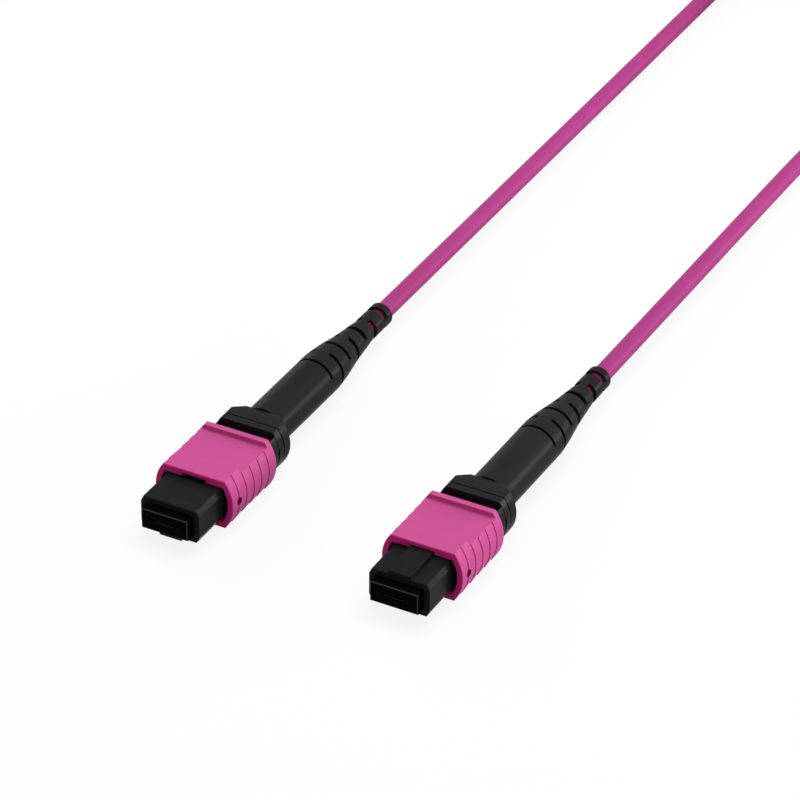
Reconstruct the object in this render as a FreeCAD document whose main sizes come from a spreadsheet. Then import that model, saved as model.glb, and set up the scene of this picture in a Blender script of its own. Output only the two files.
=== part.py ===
import FreeCAD, Part
import math
import os
import types

import Sketcher

doc = FreeCAD.newDocument("mpo_patch_cable")

# Driving dimensions in millimetres, kept in the sheet

DIMENSIONS = [
    ("connector_pitch", 35.6, "distance between the axes of the two connectors"),
    ("ferrule_width", 7.28, "ferrule across its end face"),
    ("ferrule_height", 3.2, "height of the ferrule's end face"),
    ("ferrule_proud", 1.48, "how far the ferrule stands out of the housing"),
    ("ferrule_gap", 0.1, "clearance round the ferrule in the housing"),
    ("ferrule_edge", 0.14, "bevel round the ferrule's end face"),
    ("ferrule_travel", 1.0, "how far the ferrule is pushed back in use"),
    ("shoulder_rise", 0.2, "rise from the ferrule's body out to its shoulder"),
    ("shoulder_length", 2.4, "length of the ferrule's shoulder"),
    ("guide_diameter", 0.7, "guide-pin holes in the ferrule"),
    ("guide_spacing", 4.6, "distance between the guide-pin holes"),
    ("plug_width", 3.6, "rubber plug that lets the fibres into the ferrule"),
    ("plug_height", 1.8, "height of the rubber plug"),
    ("plug_depth", 1.2, "how deep the plug sits in the ferrule"),
    ("keeper_length", 1.8, "pin keeper behind the ferrule"),
    ("spring_gap", 0.1, "clearance between the ferrule's spring and the housing"),
    ("spring_wire", 0.42, "wire of the ferrule's spring"),
    ("ribbon_gap", 0.26, "space between the spring and the edges of the fibre ribbon"),
    ("ribbon_height", 0.4, "thickness of the fibre ribbon"),
    ("housing_side", 0.68, "wall of the housing beside the ferrule's cavity"),
    ("housing_roof", 0.7, "wall of the housing above and below that cavity"),
    ("housing_nose", 6.55, "how far the housing stands out of the sleeve"),
    ("housing_inset", 0.15, "how far the housing's rear end lies inside the sleeve"),
    ("corner_side", 0.47, "housing corner bevel, measured across"),
    ("corner_rise", 0.92, "housing corner bevel, measured up"),
    ("key_width", 3.5, "polarity key on one flat of the housing"),
    ("key_height", 0.5, "height of the key above that flat"),
    ("key_reach", 2.15, "how far the key runs into the sleeve"),
    ("key_gap", 0.15, "clearance between the key and its keyway"),
    ("stop_gap", 0.05, "clearance at the stops of the two slides"),
    ("lip_length", 3.55, "front lip of the housing that stops the ferrule"),
    ("catch_start", 0.6, "latch recess in each side of the housing, behind the sleeve's face"),
    ("catch_length", 2.2, "length of that recess"),
    ("catch_height", 2.6, "height of that recess"),
    ("catch_depth", 0.35, "depth of that recess"),
    ("side_gap", 0.76, "room beside the housing for the return springs"),
    ("sleeve_gap", 0.18, "clearance between the housing and the sleeve's flats"),
    ("sleeve_wall", 0.82, "wall of the sleeve on its round sides"),
    ("sleeve_roof", 1.07, "wall of the sleeve above and below its mouth"),
    ("sleeve_length", 12.1, "coupling sleeve from front to rear"),
    ("sleeve_travel", 2.0, "how far the sleeve is pulled back to unlatch"),
    ("travel_margin", 0.55, "space left behind the sleeve when it is pulled back"),
    ("sleeve_edge", 0.12, "bevel on the sleeve's mouth and rim"),
    ("band_length", 3.6, "full-height band at the front of the sleeve"),
    ("ridge_length", 0.92, "full-height ridge at the rear of the sleeve"),
    ("recess_depth", 0.72, "depth of the finger flats between band and ridge"),
    ("recess_ramp", 0.5, "length of the slope from the band into the finger flat"),
    ("foot_round", 0.15, "rounding at the foot of the ridge"),
    ("grip_start", 1.97, "first grip step behind the sleeve's front face"),
    ("grip_pitch", 2.06, "distance from one grip step to the next"),
    ("grip_depth", 0.1, "height of a grip step"),
    ("dimple_diameter", 1.1, "blind hole in each round side of the sleeve"),
    ("dimple_depth", 0.45, "depth of that hole"),
    ("return_outside", 0.8, "outside diameter of the sleeve's return springs"),
    ("return_wire", 0.16, "wire of the return springs"),
    ("return_seat", 4.5, "front seat of the return springs, behind the sleeve's face"),
    ("return_gap", 0.05, "clearance round the return springs"),
    ("tail_length", 3.4, "tail of the rear body inside the housing"),
    ("tail_gap", 0.12, "clearance round that tail"),
    ("latch_width", 2.4, "latch on the rear body"),
    ("latch_length", 1.5, "length of the latch"),
    ("latch_height", 0.45, "height of the latch"),
    ("latch_gap", 0.12, "clearance round the latch in its window"),
    ("neck_gap", 0.14, "clearance between the rear body's neck and the sleeve"),
    ("channel_width", 8.7, "finger channels across the top and bottom of the neck"),
    ("channel_floor", 3.8, "height of the neck between the two channels"),
    ("flange_lip", 0.06, "how far the flange stands out beyond the neck's round sides"),
    ("flange_rise", 0.49, "how far the flange stands above the sleeve's mouth"),
    ("flange_length", 1.25, "length of the flange"),
    ("slit_width", 0.28, "slit in each round side of the flange"),
    ("slit_height", 1.7, "height of that slit"),
    ("slit_depth", 0.5, "depth of that slit"),
    ("barrel_diameter", 4.2, "crimp barrel on the rear body"),
    ("barrel_length", 11.0, "length of the crimp barrel"),
    ("passage_gap", 0.3, "clearance round the fibre ribbon in the rear body"),
    ("crimp_wall", 0.25, "wall of the crimp ring in the middle of its flats"),
    ("crimp_length", 7.5, "length of the crimp ring"),
    ("crimp_tail", 2.5, "length of the barrel left bare behind the crimp ring"),
    ("seam", 0.12, "joint line between the rear body and the boot"),
    ("boot_gap", 0.06, "clearance of the boot over the crimp ring and the cable"),
    ("boot_wall", 0.6, "wall of the boot over the crimp ring's corners"),
    ("boot_length", 38.5, "strain relief from its collar to its tip"),
    ("collar_length", 1.65, "full-size collar of the strain relief"),
    ("collar_taper", 1.55, "slope behind the collar"),
    ("collar_rim", 0.63, "how far the end of that slope stands above the straight tube"),
    ("collar_fall", 0.25, "fall of the collar's flats along that slope"),
    ("tip_wall", 0.44, "wall of the boot's slim end"),
    ("tip_bevel", 0.35, "bevel of the tip's rim"),
    ("flex_tail", 2.1, "last flex slot, from the tip"),
    ("flex_pitch", 2.9, "distance from the first flex slot to the second"),
    ("flex_growth", 0.09, "how much each further distance between slots grows"),
    ("flex_narrow", 0.55, "width of the first flex slot"),
    ("flex_widen", 0.085, "how much wider each flex slot is than the one before"),
    ("flex_share", 0.3, "floor of a flex slot, as a share of the boot's radius there"),
    ("cable_diameter", 2.7, "round cable jacket"),
    ("tie_thickness", 0.5, "strap that holds the coil"),
    ("tie_width", 7.0, "width of the strap along the coil"),
    ("coil_radius", 16.1, "middle of the coil's turns from its centre"),
]

GRIP_STEPS = 5
DIMPLE_SIDES = 8
FLEX_SLOTS = 7
TAPER_BENDS = ((1, 0, 0.0), (2, 0, 0.2), (3, 2, 0.6), (5, 0, 1.0))
SPRING_TURNS = 3
SPRING_SIDES = 6
CRIMP_SIDES = 6
CORD_SIDES = 12
COIL_SIDES = 48
COIL_LAYERS = 2
TURNS_PER_LAYER = 3.25

sheet = doc.addObject("Spreadsheet::Sheet", "dims")
for row, (alias, number, note) in enumerate(DIMENSIONS, 1):
    sheet.set("A%d" % row, note)
    sheet.set("B%d" % row, str(number))
    sheet.setAlias("B%d" % row, alias)
doc.recompute()


# Sizes that stay tied to the sheet

class Size:
    """A length and the sheet expression that gives it, so that sums of sizes stay tied to the sheet."""

    def __init__(self, number, text):
        self.number = number
        self.text = text

    @staticmethod
    def of(value):
        if isinstance(value, Size):
            return value
        return Size(float(value), "(%s)" % repr(float(value)))

    def joined(self, sign, other, number):
        return Size(number, "(%s %s %s)" % (self.text, sign, other.text))

    def __add__(self, other):
        other = Size.of(other)
        return self.joined("+", other, self.number + other.number)

    def __sub__(self, other):
        other = Size.of(other)
        return self.joined("-", other, self.number - other.number)

    def __mul__(self, other):
        other = Size.of(other)
        return self.joined("*", other, self.number * other.number)

    def __truediv__(self, other):
        other = Size.of(other)
        return self.joined("/", other, self.number / other.number)

    def __neg__(self):
        return Size(-self.number, "(-1 * %s)" % self.text)

    __radd__ = __add__


def bind(thing, place, size):
    """Ties one property of an object to a size."""
    thing.setExpression(place, Size.of(size).text)


d = types.SimpleNamespace(**{alias: Size(number, "dims." + alias) for alias, number, note in DIMENSIONS})

# Half sizes from the ferrule outwards, and stations from the sleeve's front face towards the cable

cavity_half_width = d.ferrule_width / 2 + d.shoulder_rise + d.ferrule_gap
cavity_half_height = d.ferrule_height / 2 + d.shoulder_rise + d.ferrule_gap
housing_half_width = cavity_half_width + d.housing_side
housing_half_height = cavity_half_height + d.housing_roof
mouth_radius = housing_half_width + d.side_gap
mouth_half = housing_half_height + d.sleeve_gap
sleeve_radius = mouth_radius + d.sleeve_wall
sleeve_half = mouth_half + d.sleeve_roof
flange_radius = mouth_radius - d.neck_gap + d.flange_lip
flange_half = mouth_half + d.flange_rise
cut_reach = sleeve_radius * 2

housing_front = -d.housing_nose
housing_rear = d.sleeve_length - d.housing_inset
lip_rear = housing_front + d.lip_length
ferrule_front = housing_front - d.ferrule_proud
shoulder_front = lip_rear + d.stop_gap
ferrule_rear = shoulder_front + d.shoulder_length
keeper_rear = ferrule_rear + d.keeper_length
neck_front = housing_rear
tail_front = neck_front - d.tail_length
flange_front = d.sleeve_length + d.sleeve_travel + d.travel_margin
flange_rear = flange_front + d.flange_length
boot_front = flange_rear + d.seam
boot_rear = boot_front + d.boot_length
barrel_rear = flange_rear + d.barrel_length
connector_middle = (ferrule_front + boot_rear) / 2

spring_outside = (cavity_half_height - d.spring_gap) * 2
ribbon_half = spring_outside / 2 - d.spring_wire - d.ribbon_gap
return_axis = housing_half_width + d.return_gap + d.return_outside / 2
crimp_corner = (d.barrel_diameter / 2 + d.crimp_wall) / math.cos(math.pi / CRIMP_SIDES)
cable_bore = d.cable_diameter / 2 + d.boot_gap
boot_seat = crimp_corner + d.boot_gap
boot_tube = boot_seat + d.boot_wall
boot_tip = cable_bore + d.tip_wall

CONNECTORS = {"a": (-1, 180.0), "b": (1, 0.0)}
nodes = []


# Helpers for bodies, sketches and features

def place(thing, side, station, across=0.0):
    """Ties an object's origin to one connector's axis, at a station along it."""
    sign, turn = CONNECTORS[side]
    thing.Placement.Rotation = FreeCAD.Rotation(FreeCAD.Vector(0, 1, 0), turn)
    bind(thing, "Placement.Base.x", d.connector_pitch * (sign / 2) + across)
    bind(thing, "Placement.Base.y", Size.of(station) - connector_middle)
    bind(thing, "Placement.Base.z", sleeve_half)
    nodes.append(thing)


def new_body(label, side, station):
    body = doc.addObject("PartDesign::Body", label + "_" + side)
    body.Label = label + "_" + side
    place(body, side, station)
    return body


def new_sketch(body, name, role, offset=None):
    """A sketch on one of the body's own planes. An offset moves a cross-section along the connector."""
    plane = next(f for f in body.Origin.OriginFeatures if f.Role == role)
    sketch = body.newObject("Sketcher::SketchObject", body.Label + "_" + name)
    sketch.AttachmentSupport = [(plane, "")]
    sketch.MapMode = "FlatFace"
    if offset is not None:
        bind(sketch, "AttachmentOffset.Base.z", -Size.of(offset))
    return sketch


def section(body, name, offset=None):
    """A sketch across the connector: its own axes are the part's X and Z."""
    return new_sketch(body, name, "XZ_Plane", offset)


def hold(sketch, geometry, end, x, y):
    """Holds one end of a line, arc or circle at a place measured from the sketch's origin."""
    for kind, axis, size in (("DistanceX", -2, x), ("DistanceY", -1, y)):
        if not isinstance(size, Size) and size == 0:
            sketch.addConstraint(Sketcher.Constraint("PointOnObject", geometry, end, axis))
            continue
        size = Size.of(size)
        index = sketch.addConstraint(Sketcher.Constraint(kind, -1, 1, geometry, end, size.number))
        bind(sketch, "Constraints[%d]" % index, size)


def point(x, y):
    return FreeCAD.Vector(Size.of(x).number, Size.of(y).number, 0)


def polygon(sketch, corners):
    """A closed straight-sided outline through corners that each keep their own distances."""
    first = sketch.GeometryCount
    count = len(corners)
    for i, corner in enumerate(corners):
        sketch.addGeometry(Part.LineSegment(point(*corner), point(*corners[(i + 1) % count])))
    for i, corner in enumerate(corners):
        sketch.addConstraint(Sketcher.Constraint("Coincident", first + i, 2, first + (i + 1) % count, 1))
        hold(sketch, first + i, 1, *corner)


def rectangle(sketch, left, bottom, right, top):
    polygon(sketch, [(left, bottom), (right, bottom), (right, top), (left, top)])


def centred_rectangle(sketch, half_width, half_height):
    rectangle(sketch, -half_width, -half_height, half_width, half_height)


def circle(sketch, radius, x=0, y=0):
    radius = Size.of(radius)
    index = sketch.addGeometry(Part.Circle(point(x, y), FreeCAD.Vector(0, 0, 1), radius.number))
    hold(sketch, index, 3, x, y)
    held = sketch.addConstraint(Sketcher.Constraint("Radius", index, radius.number))
    bind(sketch, "Constraints[%d]" % held, radius)


def even_sided(sketch, sides, corner_radius, x=0, y=0):
    """An outline of equal sides with its first corner on the sketch's own X axis."""
    corners = []
    for corner in range(sides):
        turn = 2 * math.pi * corner / sides
        across = corner_radius * math.cos(turn)
        rise = corner_radius * math.sin(turn)
        corners.append((across + x, rise + y))
    polygon(sketch, corners)


def flatted_circle(sketch, radius, half_height):
    """A circle about the origin with a flat cut off its top and its bottom."""
    lean = math.asin(half_height.number / radius.number)
    whole = Part.Circle(FreeCAD.Vector(), FreeCAD.Vector(0, 0, 1), radius.number)
    right = sketch.addGeometry(Part.ArcOfCircle(whole, -lean, lean))
    left = sketch.addGeometry(Part.ArcOfCircle(whole, math.pi - lean, math.pi + lean))
    half_width = radius.number * math.cos(lean)
    high, low = half_height.number, -half_height.number
    top = sketch.addGeometry(Part.LineSegment(point(half_width, high), point(-half_width, high)))
    bottom = sketch.addGeometry(Part.LineSegment(point(-half_width, low), point(half_width, low)))
    around = [right, top, left, bottom]
    for one, following in zip(around, around[1:] + around[:1]):
        sketch.addConstraint(Sketcher.Constraint("Coincident", one, 2, following, 1))
    for arc in (right, left):
        sketch.addConstraint(Sketcher.Constraint("Coincident", arc, 3, -1, 1))
    held = sketch.addConstraint(Sketcher.Constraint("Radius", right, radius.number))
    bind(sketch, "Constraints[%d]" % held, radius)
    for line, height in ((top, half_height), (bottom, -half_height)):
        sketch.addConstraint(Sketcher.Constraint("Horizontal", line))
        held = sketch.addConstraint(Sketcher.Constraint("DistanceY", -1, 1, line, 1, height.number))
        bind(sketch, "Constraints[%d]" % held, height)


def pad(body, sketch, length):
    """Grows a cross-section towards the cable, or a plan downwards."""
    feature = body.newObject("PartDesign::Pad", sketch.Name + "_pad")
    feature.Profile = sketch
    feature.Reversed = True
    bind(feature, "Length", length)
    doc.recompute()
    return feature


def cut(body, sketch, length=None, both_ways=False, outward=False):
    """Cuts a sketch out of the body: against its plane's normal, along it, or both ways and right through."""
    before = body.Shape.Volume
    feature = body.newObject("PartDesign::Pocket", sketch.Name + "_cut")
    feature.Profile = sketch
    if length is None:
        feature.Type = "ThroughAll"
    else:
        bind(feature, "Length", length)
    if both_ways:
        feature.SideType = "Symmetric"
    feature.Reversed = outward
    doc.recompute()
    if body.Shape.Volume >= before - 1e-6:
        raise RuntimeError(sketch.Name + " cuts nothing")
    return feature


def revolve(body, sketch, axis, angle=360.0):
    """Turns a profile about one of its sketch's own axes."""
    feature = body.newObject("PartDesign::Revolution", sketch.Name + "_turn")
    feature.Profile = sketch
    feature.ReferenceAxis = (sketch, [axis])
    feature.Angle = 360.0
    if isinstance(angle, Size):
        feature.Midplane = True
        bind(feature, "Angle", angle)
    doc.recompute()
    return feature


def soften(body, kind, chosen, size):
    """Bevels or rounds those edges of the body so far that a rule picks out."""
    base = body.Tip
    names = ["Edge%d" % (i + 1) for i, edge in enumerate(base.Shape.Edges) if chosen(edge)]
    if not names:
        raise RuntimeError(body.Label + " has no edge to soften")
    feature = body.newObject("PartDesign::" + kind, body.Label + "_" + kind.lower())
    feature.Base = (base, names)
    bind(feature, "Radius" if kind == "Fillet" else "Size", size)
    doc.recompute()


def lies_at(edge, station):
    """True where a whole edge lies in the cross-section at one station of the body's own frame."""
    box = edge.BoundBox
    return abs(box.YMin - station) < 1e-4 and abs(box.YMax - station) < 1e-4


def lies_high(edge, height):
    """True where a whole edge lies at one height, above or below the axis."""
    box = edge.BoundBox
    return abs(abs(box.ZMin) - height) < 1e-4 and box.ZLength < 1e-4


# Coupling sleeve: round sides with grip steps, finger flats above and below, a keyed mouth

def coupling_sleeve(side):
    body = new_body("coupling_sleeve", side, 0)
    profile = new_sketch(body, "profile", "XY_Plane")
    corners = [(0, 0), (sleeve_radius, 0)]
    station = d.grip_start
    for step in range(GRIP_STEPS):
        corners.append((sleeve_radius - d.grip_depth, station))
        corners.append((sleeve_radius, station))
        station = station + d.grip_pitch
    corners += [(sleeve_radius, d.sleeve_length), (0, d.sleeve_length)]
    polygon(profile, corners)
    revolve(body, profile, "V_Axis")

    flats = new_sketch(body, "flats", "YZ_Plane")
    floor = sleeve_half - d.recess_depth
    ridge_front = d.sleeve_length - d.ridge_length
    before = -d.sleeve_edge
    behind = d.sleeve_length + d.sleeve_edge
    for sign in (1, -1):
        high, low, outside = sleeve_half * sign, floor * sign, cut_reach * sign
        polygon(flats, [(before, high), (d.band_length, high), (d.band_length + d.recess_ramp, low),
                        (ridge_front, low), (ridge_front, high), (behind, high), (behind, outside),
                        (before, outside)])
    cut(body, flats, both_ways=True)
    soften(body, "Chamfer", lambda edge: lies_at(edge, 0.0), d.sleeve_edge)
    soften(body, "Fillet", lambda edge: lies_at(edge, ridge_front.number) and lies_high(edge, floor.number),
           d.foot_round)

    mouth = section(body, "mouth")
    flatted_circle(mouth, mouth_radius, mouth_half)
    cut(body, mouth)
    keyway = section(body, "keyway")
    half = d.key_width / 2 + d.key_gap
    keyway_half = housing_half_height + d.key_height + d.key_gap
    rectangle(keyway, -half, -keyway_half, half, keyway_half)
    cut(body, keyway, d.key_reach + d.stop_gap)
    channels = section(body, "spring_channels", d.return_seat)
    channel_half = d.return_outside / 2 + d.return_gap
    channel_out = return_axis + channel_half
    rectangle(channels, -channel_out, -channel_half, channel_out, channel_half)
    cut(body, channels)

    for name, sign in (("left_dimple", -1), ("right_dimple", 1)):
        dimple = new_sketch(body, name, "YZ_Plane")
        bind(dimple, "AttachmentOffset.Base.z", (sleeve_radius - d.dimple_depth) * sign)
        even_sided(dimple, DIMPLE_SIDES, d.dimple_diameter / 2, d.grip_start)
        cut(body, dimple, d.dimple_depth * 2, outward=sign > 0)


# Inner housing: bevelled nose, polarity key, ferrule aperture and latch windows

def inner_housing(side):
    body = new_body("inner_housing", side, housing_front)
    half_width, half_height = housing_half_width, housing_half_height
    length = housing_rear - housing_front
    flat_half = half_width - d.corner_side
    side_half = half_height - d.corner_rise
    outline = section(body, "outline")
    polygon(outline, [(flat_half, half_height), (-flat_half, half_height), (-half_width, side_half),
                      (-half_width, -side_half), (-flat_half, -half_height), (flat_half, -half_height),
                      (half_width, -side_half), (half_width, side_half)])
    pad(body, outline, length)
    key = section(body, "key")
    rectangle(key, -d.key_width / 2, half_height / 2, d.key_width / 2, half_height + d.key_height)
    pad(body, key, d.housing_nose + d.key_reach)
    soften(body, "Chamfer", lambda edge: lies_at(edge, 0.0), d.sleeve_edge)

    aperture = section(body, "aperture")
    centred_rectangle(aperture, d.ferrule_width / 2 + d.ferrule_gap, d.ferrule_height / 2 + d.ferrule_gap)
    cut(body, aperture)
    cavity = section(body, "cavity", d.lip_length)
    centred_rectangle(cavity, cavity_half_width, cavity_half_height)
    cut(body, cavity)

    windows = new_sketch(body, "windows", "XY_Plane")
    latch_front = tail_front - housing_front + d.latch_length / 2
    half = d.latch_width / 2 + d.latch_gap
    rectangle(windows, -half, latch_front - d.latch_gap, half, latch_front + d.latch_length + d.latch_gap)
    cut(body, windows, both_ways=True)
    catches = section(body, "catches", d.housing_nose + d.catch_start)
    for sign in (1, -1):
        rectangle(catches, (half_width - d.catch_depth) * sign, -d.catch_height / 2,
                  (half_width + d.catch_depth) * sign, d.catch_height / 2)
    cut(body, catches, d.catch_length)


# Ferrule: precision block with two guide-pin holes, a shoulder and a socket for the rubber plug

def mt_ferrule(side):
    body = new_body("mt_ferrule", side, ferrule_front)
    front_length = shoulder_front - ferrule_front
    block = section(body, "block")
    centred_rectangle(block, d.ferrule_width / 2, d.ferrule_height / 2)
    pad(body, block, front_length)
    soften(body, "Chamfer", lambda edge: lies_at(edge, 0.0), d.ferrule_edge)
    shoulder = section(body, "shoulder", front_length)
    centred_rectangle(shoulder, d.ferrule_width / 2 + d.shoulder_rise, d.ferrule_height / 2 + d.shoulder_rise)
    pad(body, shoulder, d.shoulder_length)
    socket = section(body, "socket", front_length + d.shoulder_length - d.plug_depth)
    centred_rectangle(socket, d.plug_width / 2, d.plug_height / 2)
    cut(body, socket)
    fibres = section(body, "fibre_slot", front_length)
    centred_rectangle(fibres, ribbon_half + d.ferrule_gap, d.ribbon_height / 2 + d.ferrule_gap)
    cut(body, fibres)
    guides = section(body, "guide_holes")
    for sign in (1, -1):
        circle(guides, d.guide_diameter / 2, d.guide_spacing * (sign / 2), 0)
    cut(body, guides)


# Rubber plug, pin keeper and the bare fibres behind the ferrule

def ferrule_plug(side):
    body = new_body("ferrule_plug", side, ferrule_rear - d.plug_depth)
    block = section(body, "block")
    centred_rectangle(block, d.plug_width / 2, d.plug_height / 2)
    length = d.plug_depth + d.keeper_length - d.ferrule_gap
    pad(body, block, length)
    soften(body, "Chamfer", lambda edge: lies_at(edge, length.number), d.plug_height / 5)
    opening = section(body, "opening")
    centred_rectangle(opening, ribbon_half + d.ferrule_gap, d.ribbon_height / 2 + d.ferrule_gap)
    cut(body, opening)


def pin_keeper(side):
    body = new_body("pin_keeper", side, ferrule_rear)
    plate = section(body, "plate")
    centred_rectangle(plate, d.ferrule_width / 2, d.ferrule_height / 2)
    pad(body, plate, d.keeper_length)
    window = section(body, "window")
    centred_rectangle(window, d.plug_width / 2 + d.ferrule_gap, d.plug_height / 2 + d.ferrule_gap)
    cut(body, window)


def fibre_ribbon(side):
    front = ferrule_rear - d.plug_depth + d.ferrule_travel
    body = new_body("fibre_ribbon", side, front)
    ribbon = section(body, "ribbon")
    centred_rectangle(ribbon, ribbon_half, d.ribbon_height / 2)
    pad(body, ribbon, barrel_rear - front)


# Springs of square wire, wound along the connector in straight lengths

def flat_face(corners):
    return Part.Face(Part.makePolygon(corners + corners[:1]))


def coil_spring(label, side, station, length, outside, wire, turns, across=0.0):
    outer = outside.number / 2
    inner = outer - wire.number
    steps = turns * SPRING_SIDES
    rings = []
    for step in range(steps + 1):
        angle = 2 * math.pi * step / SPRING_SIDES
        low = (length.number - wire.number) * step / steps
        high = low + wire.number
        rings.append([FreeCAD.Vector(radius * math.cos(angle), along, radius * math.sin(angle))
                      for radius, along in ((inner, low), (outer, low), (outer, high), (inner, high))])
    faces = [flat_face(rings[0]), flat_face(rings[-1])]
    for one, two in zip(rings, rings[1:]):
        for near, far in ((0, 1), (2, 3)):
            faces.append(flat_face([one[near], one[far], two[far]]))
            faces.append(flat_face([one[near], two[far], two[near]]))
        for near, far in ((1, 2), (3, 0)):
            faces.append(flat_face([one[near], one[far], two[far], two[near]]))
    winding = Part.makeSolid(Part.makeShell(faces))
    spring = doc.addObject("Part::Feature", label + "_" + side)
    spring.Shape = winding if winding.Volume > 0 else winding.reversed()
    spring.Label = label + "_" + side
    place(spring, side, station, across)


# Rear body: tail and latches in the housing, neck under the sleeve, flange and crimp barrel

def rear_body(side):
    body = new_body("rear_body", side, tail_front)
    tail_half = cavity_half_height - d.tail_gap
    tail = section(body, "tail")
    centred_rectangle(tail, cavity_half_width - d.tail_gap, tail_half)
    pad(body, tail, d.tail_length)
    latch = new_sketch(body, "latch", "YZ_Plane")
    start = d.latch_length / 2
    for sign in (1, -1):
        polygon(latch, [(start, tail_half * sign), (start + d.latch_length, tail_half * sign),
                        (start + d.latch_length, (tail_half + d.latch_height) * sign)])
    wedge = body.newObject("PartDesign::Pad", body.Label + "_latches")
    wedge.Profile = latch
    wedge.SideType = "Symmetric"
    bind(wedge, "Length", d.latch_width)
    doc.recompute()

    neck = section(body, "neck", d.tail_length)
    flatted_circle(neck, mouth_radius - d.neck_gap, mouth_half - d.neck_gap)
    pad(body, neck, flange_front - neck_front)
    flange = section(body, "flange", flange_front - tail_front)
    flatted_circle(flange, flange_radius, flange_half)
    pad(body, flange, d.flange_length)
    barrel = section(body, "barrel", flange_rear - tail_front)
    even_sided(barrel, CORD_SIDES, d.barrel_diameter / 2)
    pad(body, barrel, d.barrel_length)

    channels = section(body, "channels", d.tail_length)
    for sign in (1, -1):
        rectangle(channels, -d.channel_width / 2, d.channel_floor * (sign / 2),
                  d.channel_width / 2, mouth_radius * sign)
    cut(body, channels, flange_front - neck_front)
    slits = section(body, "slits", flange_front - tail_front - d.slit_width / 2)
    for sign in (1, -1):
        rectangle(slits, (flange_radius - d.slit_depth) * sign, -d.slit_height / 2,
                  (flange_radius + d.slit_depth) * sign, d.slit_height / 2)
    cut(body, slits, d.slit_width)
    passage = section(body, "fibre_passage")
    centred_rectangle(passage, ribbon_half + d.passage_gap, d.ribbon_height / 2 + d.passage_gap)
    cut(body, passage)


# Crimp ring, pressed to six flats

def crimp_ring(side):
    body = new_body("crimp_ring", side, barrel_rear - d.crimp_tail - d.crimp_length)
    ring = section(body, "ring")
    even_sided(ring, CRIMP_SIDES, crimp_corner)
    even_sided(ring, CORD_SIDES, d.barrel_diameter / 2)
    pad(body, ring, d.crimp_length)


# Strain relief boot: flatted collar, six-sided seat, straight tube, taper and flex slots

def flex_slot(number):
    """Front edge, middle and rear edge of one flex slot. The distances between slots grow towards the tip."""
    last = FLEX_SLOTS - 1
    growths = (last * (last - 1) - number * (number - 1)) / 2
    middle = d.boot_length - d.flex_tail - d.flex_pitch * (last - number) - d.flex_growth * growths
    half = (d.flex_narrow + d.flex_widen * number) / 2
    return middle - half, middle, middle + half


def taper_bends():
    """Stations and radii where the boot's outside bends, each at one edge of a flex slot."""
    fall = boot_tube - boot_tip
    return [(flex_slot(slot)[edge], boot_tube - fall * share) for slot, edge, share in TAPER_BENDS]


def boot_radius(station):
    """Outside of the boot at a station. The taper's three slopes are gentle, steep and gentle again."""
    bends = taper_bends()
    for (start, before), (end, after) in zip(bends, bends[1:]):
        if start.number < station.number < end.number:
            return before - (before - after) * ((station - start) / (end - start))
    return boot_tube if station.number <= bends[0][0].number else boot_tip


def strain_relief_boot(side):
    body = new_body("strain_relief_boot", side, boot_front)
    collar_rear = d.collar_length + d.collar_taper
    corners = [(0, 0), (flange_radius, 0), (flange_radius, d.collar_length),
               (boot_tube + d.collar_rim, collar_rear), (boot_tube, collar_rear)]
    corners += [(radius, station) for station, radius in taper_bends()]
    corners += [(boot_tip, d.boot_length - d.tip_bevel), (boot_tip - d.tip_bevel, d.boot_length),
                (0, d.boot_length)]
    profile = new_sketch(body, "profile", "XY_Plane")
    polygon(profile, corners)
    revolve(body, profile, "V_Axis")

    bore = section(body, "cable_bore")
    even_sided(bore, CORD_SIDES, cable_bore / math.cos(math.pi / CORD_SIDES))
    cut(body, bore)
    seat = section(body, "crimp_seat")
    even_sided(seat, CRIMP_SIDES, boot_seat)
    cut(body, seat, barrel_rear - boot_front + d.boot_gap)
    flats = new_sketch(body, "flats", "YZ_Plane")
    for sign in (1, -1):
        polygon(flats, [(-d.collar_length, flange_half * sign), (d.collar_length, flange_half * sign),
                        (collar_rear, (flange_half - d.collar_fall) * sign), (collar_rear, cut_reach * sign),
                        (-d.collar_length, cut_reach * sign)])
    cut(body, flats, both_ways=True)

    for name, role, first in (("upper_flex", "YZ_Plane", 0), ("side_flex", "XY_Plane", 1)):
        slots = new_sketch(body, name, role)
        for number in range(first, FLEX_SLOTS, 2):
            front, middle, rear = flex_slot(number)
            floor = boot_radius(middle) * d.flex_share
            for sign in (1, -1):
                low, high = floor * sign, cut_reach * sign
                if role == "YZ_Plane":
                    rectangle(slots, front, low, rear, high)
                else:
                    rectangle(slots, low, front, high, rear)
        cut(body, slots, both_ways=True)


for side in CONNECTORS:
    coupling_sleeve(side)
    inner_housing(side)
    mt_ferrule(side)
    ferrule_plug(side)
    pin_keeper(side)
    fibre_ribbon(side)
    coil_spring("ferrule_spring", side, keeper_rear, tail_front - keeper_rear,
                spring_outside, d.spring_wire, SPRING_TURNS)
    for name, sign in (("return_spring_left", -1), ("return_spring_right", 1)):
        coil_spring(name, side, d.return_seat, neck_front - d.return_seat,
                    d.return_outside, d.return_wire, SPRING_TURNS, return_axis * sign)
    rear_body(side)
    crimp_ring(side)
    strain_relief_boot(side)


# Cable: two free runs and the coil of the length between them

cable_radius = d.cable_diameter.number / 2
axis_height = sleeve_half.number
axis_x = d.connector_pitch.number / 2
cable_start = barrel_rear.number - connector_middle.number
COIL_CENTRE = (1.15, 179.35)
layer_drop = TURNS_PER_LAYER * d.cable_diameter.number
outer_turn = d.coil_radius.number + layer_drop / 2
floor_turn = d.tie_thickness.number + cable_radius
upper_turn = floor_turn + d.cable_diameter.number

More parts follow.
